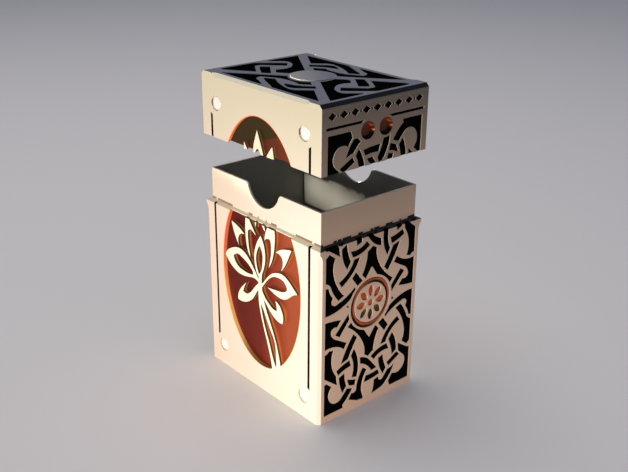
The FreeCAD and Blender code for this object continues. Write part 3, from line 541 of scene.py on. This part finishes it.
# Painted light and shade: rings and cups follow the way a face looks, the rosettes the height.
RING_SHADE_STOPS = ((0.36, (0.012, 0.009, 0.004)), (0.445, (0.045, 0.020, 0.009)), (0.485, (0.46, 0.090, 0.024)),
              (0.60, (0.66, 0.150, 0.045)), (0.78, (0.50, 0.090, 0.030)), (1.0, (0.30, 0.050, 0.022)))
ROSETTE_SHADE_STOPS = ((0.0, (0.020, 0.016, 0.006)), (0.28, (0.12, 0.070, 0.020)), (0.38, (0.68, 0.170, 0.060)),
                 (0.62, (0.62, 0.135, 0.048)), (1.0, (0.44, 0.070, 0.030)))
CUP_SHADE_STOPS = ((0.0, (0.040, 0.030, 0.010)), (0.38, (0.020, 0.014, 0.007)), (0.45, (0.11, 0.032, 0.018)),
             (0.55, (0.15, 0.042, 0.025)), (0.61, (0.022, 0.012, 0.006)), (0.67, (0.12, 0.022, 0.012)),
             (0.75, (0.60, 0.14, 0.030)), (1.0, (0.80, 0.26, 0.070)))
ring_copper = {}
rosette_copper = {}
cup_copper = {}
for side, end in (("left", -1), ("right", 1)):
    ring_copper[side] = shaded_by_look(f"ring_copper_{side}", end, 0.90, 0.45, RING_SHADE_STOPS, 0.22, 0.18)
    rosette_copper[side] = shaded_by_height(f"rosette_copper_{side}", f"case_{side}_rosette", ROSETTE_SHADE_STOPS)
    cup_copper[side] = shaded_by_look(f"cup_copper_{side}", end, -0.15, -0.95, CUP_SHADE_STOPS, 0.08, 0.30)
print("made", len(bpy.data.materials), "materials so far")

# %% [markdown]
# ## Nickel silver
#
# The corner pins are pale nickel silver, faced on a lathe: the tool leaves fine rings round the
# middle.  Each pin has its own middle, so the rings come from the distance to the nearest pin's
# centre, which the size of the position along the width makes one place for both sides.

# %% Nickel silver
TOOL_PITCH = 0.16 * mm
TOOL_DEEP = 0.01 * mm
PALE_NICKEL = (1.0, 0.99, 0.97, 1.0)


def nickel(name, pin_node):
    """Pale nickel silver with turning rings round the pins of one node."""
    low, high = corners(pin_node)
    middle = (low + high) / 2
    radius = (high[2] - low[2]) / 2
    finish = Finish(name, Base_Color=PALE_NICKEL, Metallic=0.20)
    side = finish.size(finish.along("X")) - (high[0] - radius)
    rise = finish.along("Z") - middle[2]
    reach = (side * side + rise * rise) ** 0.5
    rings = finish.node("ShaderNodeMath", {"operation": "SINE"}, {0: reach * (2 * np.pi / TOOL_PITCH)})
    finish.set(Roughness=0.26 + 0.03 * rings)
    finish.set(Normal=finish.bump(rings, 0.05, TOOL_DEEP))
    return finish.material


pin_nickel = {node: nickel(f"nickel_{node}", node) for node in ("case_pins", "lid_pins")}
print("made", len(bpy.data.materials), "materials so far")

# %% [markdown]
# ## Finishes on the exact solids
#
# Panels, inlays, copper sheets and lotus keep their exact shapes.  Each takes its finish by the kind
# of piece it is, which its name says.  The first line of the list that fits is taken, so the plain
# lacquer, which fits every name, comes last.

# %% Dress the fixed model
FINISH_BY_PIECE = [
    ("copper_plate", red_copper), ("copper_bezel", gold_copper), ("left_rosette", rosette_copper["left"]),
    ("right_rosette", rosette_copper["right"]), ("lotus", lotus_lacquer), ("liner", liner_lacquer),
    ("inlay", black_resin), ("case_left_panel", case_end_lacquer), ("case_right_panel", case_end_lacquer),
    ("lid_left_panel", lid_end_lacquer), ("lid_right_panel", lid_end_lacquer),
    ("lid_top_plate", lid_end_lacquer), ("", lacquer),
]


def dress(piece, material):
    """Give a piece one material."""
    piece.data.materials.clear()
    piece.data.materials.append(material)


for name, piece in nodes.items():
    dress(piece, next(material for part, material in FINISH_BY_PIECE if part in name))
print("dressed", len(nodes), "nodes")

# %% [markdown]
# ## Turned fittings
#
# Pins, cups, medallion rings and the boss are lathe work, and their soft edges catch the light.  A
# turned piece is a profile of radius and height carried round an axis: with u along the profile and
# v round the axis, the point is centre + radius(u) (cos v, sin v) + height(u) axis.  Rows of the grid
# are rings, and both ends close on the axis or on each other.


# %% Turn a profile
def rounded_profile(points, fillets, steps=5):
    """Replace the corners of an open profile by quarter-like arcs.

    Each arc is a quadratic curve from one leg to the other, with the corner as its control point."""
    points = np.array(points, float)
    path = [points[0]]
    for before, corner, after, radius in zip(points, points[1:], points[2:], fillets):
        start = corner + (before - corner) / np.linalg.norm(before - corner) * radius
        end = corner + (after - corner) / np.linalg.norm(after - corner) * radius
        t = np.linspace(0, 1, steps)[:, None]
        path.extend((1 - t) ** 2 * start + 2 * t * (1 - t) * corner + t ** 2 * end)
    path.append(points[-1])
    return np.array(path)


def grid_mesh(name, grids, material, body, replaced, looped=False):
    """Join grids of points into one mesh that rides on a body, in place of some plain nodes.

    Each grid is rows x columns x 3 and closed along its columns.  A looped grid also joins its last
    row to its first, and any other is capped at both ends."""
    vertices = []
    faces = []
    count = 0
    for grid in grids:
        rows, columns, _ = grid.shape
        index = count + np.arange(rows * columns).reshape(rows, columns)
        if looped:
            index = np.concatenate([index, index[:1]])
        following = np.roll(index, -1, axis=1)
        quads = np.stack([index[:-1], following[:-1], following[1:], index[1:]], -1).reshape(-1, 4)
        vertices.append(grid.reshape(-1, 3))
        faces.extend(quads.tolist())
        if not looped:
            faces.append(index[0][::-1].tolist())
            faces.append(index[-1].tolist())
        count += rows * columns
    mesh = bpy.data.meshes.new(name)
    mesh.from_pydata(np.concatenate(vertices).tolist(), [], faces)
    mesh.update()
    mesh.polygons.foreach_set("use_smooth", np.ones(len(mesh.polygons), bool))
    piece = bpy.data.objects.new(name, mesh)
    bpy.context.scene.collection.objects.link(piece)
    dress(piece, material)
    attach(piece, body)
    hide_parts(*replaced)
    return piece


def turned(profile, centre, axis, segments=64):
    """A ring of points for each point of the profile, round an axis through centre."""
    axis = np.array(axis, float)
    first = np.cross(axis, [0.0, 0.0, 1.0]) if abs(axis[2]) < 0.9 else np.array([1.0, 0.0, 0.0])
    second = np.cross(axis, first)
    turn = np.linspace(0, 2 * np.pi, segments, endpoint=False)
    circle = np.cos(turn)[:, None] * first + np.sin(turn)[:, None] * second
    return centre + profile[:, None, :1] * circle + profile[:, None, 1:] * axis


print("lathe ready")

# %% [markdown]
# ## Pins
#
# A pin's head sits in a round pocket.  It is very slightly domed, with a rounded shoulder, and
# reaches down to the pocket's floor.  A bevelled cylinder would do for the shoulder, but a turned
# profile gives the dome as well.  The case has four pins and the lid has four.

# %% Pins
HEAD_DEEP = 0.45 * mm
SHOULDER = 0.28 * mm
DOME_HIGH = 0.10 * mm


def pin_profile(radius):
    """A domed head: from the foot up the side, round the shoulder and over the dome to the middle.

    The dome's height falls with the square of the distance from the middle."""
    side = rounded_profile([(radius, -HEAD_DEEP), (radius, 0.0), (0.0, 0.0)], [SHOULDER])[:-1]
    across = np.linspace(0.86, 0.02, 9)
    cap = np.stack([radius * across, DOME_HIGH * (1 - across ** 2)], 1)
    return np.concatenate([side, cap])


for body in ("case", "lid"):
    node = f"{body}_pins"
    low, high = corners(node)
    radius = (high[2] - low[2]) / 2
    across = high[0] - radius
    height = (high[2] + low[2]) / 2
    profile = pin_profile(radius)
    grids = [turned(profile, np.array([side * across, facing * high[1], height]), (0, facing, 0))
             for facing in (-1.0, 1.0) for side in (-1, 1)]
    pins = grid_mesh(f"{body}_pin_heads", grids, pin_nickel[node], body, [node])
    print(pins.name, len(pins.data.vertices), "points")

# %% [markdown]
# ## Boss, medallion rings and cups
#
# All of these come off the same lathe, and only their profiles differ.  The boss is a plain button
# with a softened rim.  The medallion's ring is a polished band with a half-round crown, and its
# colour is painted bright on one flank and dark on the other by the way the crown looks.  Each cup
# has a rolled lip, a wall that curves in along a quarter of a sine wave, and a flat floor.

# %% Boss
BOSS_FILLET = 0.22 * mm
POLE = 0.02 * mm
low, high = corners("lid_top_boss")
boss_radius = (high[0] - low[0]) / 2
boss_deep = high[2] - low[2]
boss_profile = rounded_profile([(boss_radius, -boss_deep), (boss_radius, 0.0), (POLE, 0.0)], [BOSS_FILLET])
boss_place = np.array([(low[0] + high[0]) / 2, (low[1] + high[1]) / 2, high[2]])
boss = grid_mesh("lid_boss_button", [turned(boss_profile, boss_place, (0, 0, 1), 128)], lacquer, "lid",
                 ["lid_top_boss"])
print("boss radius", round(boss_radius / mm, 2))

# %% Medallion rings
RING_INNER_SHARE = 8.6 / 11.0
CROWN_FOOT = -0.42 * mm
CROWN_HIGH = 0.70 * mm
for side, facing in (("left", -1), ("right", 1)):
    node = f"case_{side}_medallion_ring"
    low, high = corners(node)
    outer = (high[2] - low[2]) / 2
    inner = outer * RING_INNER_SHARE
    face = high[0] if facing > 0 else low[0]
    middle = np.array([face, (low[1] + high[1]) / 2, (low[2] + high[2]) / 2])
    turn = np.linspace(0, np.pi, 17)
    crown = np.stack([(outer + inner) / 2 + (outer - inner) / 2 * np.cos(turn),
                      CROWN_FOOT + CROWN_HIGH * np.sin(turn)], 1)
    grids = [turned(crown, middle, (facing, 0, 0), 128)]
    grid_mesh(f"case_{side}_medallion_band", grids, ring_copper[side], "case", [node], looped=True)
print("medallion band", round(2 * outer / mm, 2), "mm across")

# %% Cups
CUP_LIP = 0.16 * mm
LIP_FILLET = 0.07 * mm
LIP_RISE = 0.05 * mm
CUP_FOOT = -1.35 * mm
CUP_EDGE = -0.10 * mm
CUP_BOTTOM = -1.25 * mm
CUP_WALL = 0.34
for side, facing in (("left", -1), ("right", 1)):
    node = f"lid_{side}_copper_cups"
    low, high = corners(node)
    radius = (high[2] - low[2]) / 2
    face = high[0] if facing > 0 else low[0]
    height = (low[2] + high[2]) / 2
    inner = radius - 1.2 * CUP_LIP
    lip = rounded_profile([(radius, CUP_FOOT), (radius, LIP_RISE), (radius - CUP_LIP, LIP_RISE),
                           (inner, CUP_EDGE)], [LIP_FILLET, LIP_FILLET])
    share = np.append(np.linspace(1.0, 1.0 - CUP_WALL, 12), 0.01)
    curve = np.sin(np.clip((1.0 - share) / CUP_WALL, 0, 1) * np.pi / 2)
    bowl = np.stack([inner * share, CUP_EDGE + (CUP_BOTTOM - CUP_EDGE) * curve], 1)
    profile = np.concatenate([lip[:-1], bowl])
    grids = [turned(profile, np.array([face, across, height]), (facing, 0, 0))
             for across in (low[1] + radius, high[1] - radius)]
    grid_mesh(f"lid_{side}_cup_linings", grids, cup_copper[side], "lid", [node])
print("cups", round(2 * radius / mm, 2), "mm across")

# %% [markdown]
# ## The shadow line round the liner
#
# The liner passes through the rim with a hairline gap.  Where the rim's metal stands at its full
# height the gap's shadow is painted as short dark dashes, like the merlons of a wall, and they follow
# the pattern below them.  Each dash is a thin strip laid against the liner and painted as shadow: a
# small box worked out from its two ends, so all of them together are one array of corners.  The
# front's dashes are a lit brownish pink and the ends' a shaded black, lit and shaded copies of one
# painted shadow.


# %% Gap shades
def gap_shade(name, deep, faint):
    """A dull, slightly cloudy painted shadow for a hairline gap."""
    finish = Finish(name)
    cloud = finish.noise(900.0)
    finish.set(Base_Color=finish.mix(cloud, deep, faint), Roughness=0.72 + 0.16 * cloud)
    return finish.material


# Painted shadow of the gap: a lit copy for the front and a shaded copy for the ends.
lit_gap_shadow = gap_shade("lit_gap_shadow", (0.27, 0.135, 0.10, 1.0), (0.39, 0.205, 0.16, 1.0))
shaded_gap_shadow = gap_shade("shaded_gap_shadow", (0.006, 0.003, 0.003, 1.0), (0.014, 0.007, 0.007, 1.0))
print("made", lit_gap_shadow.name, "and", shaded_gap_shadow.name)

# %% Dashes
DASH_HIGH = 0.80 * mm
DASH_PROUD = 0.035 * mm
# Where each dash starts and ends along its wall, in millimetres from the middle.
FRONT_DASHES = [(-35.0, -32.3), (-31.2, -20.8), (-9.6, -7.0), (-3.6, -2.9), (1.6, 2.3), (5.0, 8.6),
                (20.3, 30.1), (31.3, 35.0)]
SIDE_DASHES = [(-25.4, -24.4), (-19.1, -17.4), (-16.9, -15.1), (-14.4, -9.9), (-6.3, -3.7), (0.4, 1.9),
               (2.4, 5.4), (8.9, 12.7), (16.6, 17.5), (21.4, 25.4)]
BOX_FACES = np.array([[0, 1, 2, 3], [7, 6, 5, 4], [0, 4, 5, 1], [1, 5, 6, 2], [2, 6, 7, 3], [3, 7, 4, 0]])


def dash_boxes(dashes, face, turned_side):
    """Eight corners for each dash, on a liner wall at y = -face, or at x = face for a turned side."""
    ends = np.array(dashes) * mm
    along = ends[:, [0, 1, 1, 0, 0, 1, 1, 0]]
    out = np.broadcast_to(face + DASH_PROUD * np.array([0, 0, 1, 1, 0, 0, 1, 1]), along.shape)
    up = np.broadcast_to(case_high[2] + DASH_HIGH * np.array([0, 0, 0, 0, 1, 1, 1, 1]), along.shape)
    if turned_side:
        return np.stack([out, along, up], -1)
    return np.stack([along, -out, up], -1)


def twin_boxes(name, half, material):
    """A piece of the case: one side's boxes and their copies on the opposite side, half a turn away."""
    boxes = np.concatenate([half, half * [-1, -1, 1]])
    faces = (np.arange(len(boxes))[:, None, None] * 8 + BOX_FACES).reshape(-1, 4)
    mesh = bpy.data.meshes.new(name)
    mesh.from_pydata(boxes.reshape(-1, 3).tolist(), [], faces.tolist())
    mesh.update()
    piece = bpy.data.objects.new(name, mesh)
    bpy.context.scene.collection.objects.link(piece)
    dress(piece, material)
    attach(piece, "case")
    print(name, "has", len(boxes), "boxes")


twin_boxes("case_front_shadow_line", dash_boxes(FRONT_DASHES, liner_high[1], False), lit_gap_shadow)
twin_boxes("case_end_shadow_line", dash_boxes(SIDE_DASHES, liner_high[0], True), shaded_gap_shadow)

# %% [markdown]
# ## The lip across the oval
#
# The rim's metal runs on over each oval as a narrow lip, so the opening is closed at the top.  Its top
# follows the slope of the rim, which the lotus was cut to as well: one point of the slope is the
# lotus's highest, and the other is the highest of its outer face.  The bezel gives the lip's length.


# %% Lip
def points_of(node):
    """All the points of a node's mesh, as rows."""
    mesh = nodes[node].data
    flat = np.empty(len(mesh.vertices) * 3)
    mesh.vertices.foreach_get("co", flat)
    return flat.reshape(-1, 3)


LIP_DEEP = 0.85 * mm
LIP_HIGH = 0.40 * mm
LIP_PROUD = 0.02 * mm
NEAR = 0.1 * mm
petals = points_of("case_front_lotus")
foot_y, face_y = lotus_high[1], lotus_low[1]
foot_z = petals[:, 2].max()
face_z = petals[petals[:, 1] < face_y + NEAR, 2].max()
wall_points = points_of("case_front_copper_bezel")
half_chord = wall_points[wall_points[:, 2] > wall_points[:, 2].max() - NEAR, 0].max()
edge_y = foot_y - LIP_DEEP
edge_z = np.interp(edge_y, [face_y, foot_y], [face_z, foot_z])
top = np.array([(-half_chord, foot_y, foot_z), (half_chord, foot_y, foot_z),
                (half_chord, edge_y, edge_z), (-half_chord, edge_y, edge_z)]) + [0, 0, LIP_PROUD]
lip = np.concatenate([top - [0, 0, LIP_HIGH], top])[None]
twin_boxes("case_rim_lips", lip, lacquer)
print("lip falls", round((foot_z - face_z) / mm, 2), "mm over the lotus's depth")

# %% [markdown]
# ## Floor
#
# The box stands on a pale floor that curves up into a pale backdrop.  The floor is one section, a
# level run, a quarter of a circle and an upright run, carried sideways across the view, so there is
# no corner to show behind the box.

# %% Floor
FLOOR_DEEP = 1.6
FLOOR_HALF = 2.4
BACKDROP_HIGH = 1.1
CURVE = 0.5
FLOOR_GREY = (0.78, 0.76, 0.74, 1.0)
toward = np.array([-back[0], -back[1], 0.0])
toward /= np.linalg.norm(toward)
sideways = np.array([-toward[1], toward[0], 0.0])
bend = np.linspace(0, np.pi / 2, 13)
section = np.concatenate([
    [[-FLOOR_DEEP, 0.0]],
    np.stack([FLOOR_DEEP + CURVE * np.sin(bend), CURVE * (1 - np.cos(bend))], 1),
    [[FLOOR_DEEP + CURVE, BACKDROP_HIGH]]])
edges_out = np.array([-FLOOR_HALF, FLOOR_HALF])
floor_grid = (section[:, None, :1] * toward + section[:, None, 1:] * np.array([0, 0, 1.0])
              + edges_out[None, :, None] * sideways)
rows = len(section)
index = np.arange(rows * 2).reshape(rows, 2)
floor_faces = np.stack([index[:-1, 0], index[1:, 0], index[1:, 1], index[:-1, 1]], -1)
floor_mesh = bpy.data.meshes.new("studio_floor")
floor_mesh.from_pydata(floor_grid.reshape(-1, 3).tolist(), [], floor_faces.tolist())
floor_mesh.update()
floor_mesh.polygons.foreach_set("use_smooth", np.ones(len(floor_mesh.polygons), bool))
floor = bpy.data.objects.new("studio_floor", floor_mesh)
bpy.context.scene.collection.objects.link(floor)
pale = Finish("pale_floor", Base_Color=FLOOR_GREY, Roughness=0.7)
dress(floor, pale.material)
print("floor and backdrop:", len(floor_mesh.polygons), "faces")

# %% [markdown]
# ## Lamps
#
# In a studio, flags keep light off a thing, and light linking does that here: a lamp takes a
# collection of receivers, and each is either left out or lit alone.  Three lamps are flagged off the
# floor: a low warm key lamp in front, a small orange one by the right end, and a pale one behind that
# keeps the back from going dark.  The floor has a high lamp of its own.  One more lamp, in front on the
# right, is for the ovals' walls and the lotus alone.


# %% Lamp makers
def flagged(made, pieces, state):
    """Keep a lamp off some pieces (EXCLUDE) or for them alone (INCLUDE), as a studio's flags do."""
    receivers = bpy.data.collections.new(f"{made.name}_receivers")
    for piece in pieces:
        receivers.objects.link(piece)
    for link in receivers.collection_objects:
        link.light_linking.link_state = state
    made.light_linking.receiver_collection = receivers


def aimed(data, place, aim, pieces, state):
    """Put a lamp at a place so that it faces a point, both in metres, and flag it."""
    made = bpy.data.objects.new(data.name, data)
    made.location = Vector(place)
    made.rotation_euler = (Vector(aim) - Vector(place)).to_track_quat("-Z", "Y").to_euler()
    bpy.context.scene.collection.objects.link(made)
    flagged(made, pieces, state)
    return made


def panel_lamp(name, place, aim, watts, width, height, colour, state, pieces=(floor,)):
    """A rectangular lamp of a width and height in metres, which the camera doesn't see."""
    data = bpy.data.lights.new(name, "AREA")
    data.shape = "RECTANGLE"
    data.energy = watts
    data.size = width
    data.size_y = height
    data.color = colour
    aimed(data, place, aim, pieces, state).visible_camera = False


print("lamp makers ready")

# %% Panel lamps
WARM = (1.0, 0.87, 0.74)
ORANGE = (1.0, 0.45, 0.28)
SOFT_WHITE = (1.0, 0.95, 0.90)
FLOOR_WHITE = (1.0, 0.95, 0.91)
GOLDEN = (1.0, 0.88, 0.72)
panel_lamp("key_lamp", (0.06, -0.38, 0.050), (0.02, 0, 0.06), 1.42, 0.20, 0.07, WARM, "EXCLUDE")
panel_lamp("side_lamp", (0.15, -0.03, 0.004), (0.037, 0, 0.03), 0.045, 0.10, 0.02, ORANGE, "EXCLUDE")
panel_lamp("back_lamp", (-0.30, 0.50, 0.060), (0, 0, 0.06), 3.0, 0.40, 0.10, SOFT_WHITE, "EXCLUDE")
panel_lamp("floor_lamp", (-0.20, -0.10, 1.20), (0, 0.10, 0), 8.5, 1.00, 1.00, FLOOR_WHITE, "INCLUDE")
oval_pieces = [piece for name, piece in nodes.items() if "bezel" in name or "lotus" in name]
panel_lamp("oval_lamp", (0.30, -0.28, 0.10), (0, -0.027, 0.06), 0.75, 0.15, 0.15, GOLDEN, "INCLUDE",
           oval_pieces)
print("the oval lamp lights", len(oval_pieces), "pieces")

# %% [markdown]
# ## Spots
#
# Light reaches the well only through the gap between the liner's rim and the lid.  A row of three
# narrow spots, all from one place, sends it through and onto the well's far wall.  A fourth spot
# skims over the lid from the front left, so that the boss's edge shines there and its top doesn't.

# %% Spots
SPOT_WATTS = 12.0
SPOT_BLEND = 0.5
SPOT_RADIUS = 0.006
SPOT_CREAM = (1.0, 0.93, 0.80)


def spot(name, place, aim, cone, piece):
    """A narrow spot for one piece alone; the cone is its full angle in degrees."""
    data = bpy.data.lights.new(name, "SPOT")
    data.energy = SPOT_WATTS
    data.spot_size = np.radians(cone)
    data.spot_blend = SPOT_BLEND
    data.shadow_soft_size = SPOT_RADIUS
    data.color = SPOT_CREAM
    aimed(data, place, aim, [piece], "INCLUDE")


WELL_LAMP_PLACE = (-0.04, -0.41, 0.311)
WELL_AIMS = {"left": (-0.026, 0.025, 0.0735), "middle": (-0.012, 0.025, 0.0705),
             "right": (0.002, 0.025, 0.0670)}
for side, aim in WELL_AIMS.items():
    spot(f"well_lamp_{side}", WELL_LAMP_PLACE, aim, 2.1, nodes["case_liner"])
spot("boss_lamp", (-0.26, -0.41, 0.158), (0.0, 0.0, 0.1325), 5.0, boss)
print("lamps:", [item.name for item in bpy.data.lights])

# %% [markdown]
# ## Room
#
# The room's own light is cool and dim, and gives the top of the lid its violet grey.  The plain
# Standard view keeps bright lacquer as bright as it is, where a filmic view would grey it.

# %% Room
ROOM_LIGHT = (0.62, 0.72, 1.0, 1.0)
ROOM_STRENGTH = 0.22
world = bpy.data.worlds.new("studio_room")
world.use_nodes = True
room = world.node_tree.nodes["Background"]
room.inputs["Color"].default_value = ROOM_LIGHT
room.inputs["Strength"].default_value = ROOM_STRENGTH
bpy.context.scene.world = world
bpy.context.scene.view_settings.view_transform = "Standard"
print("room light:", ROOM_STRENGTH, "in the", bpy.context.scene.view_settings.view_transform, "view")
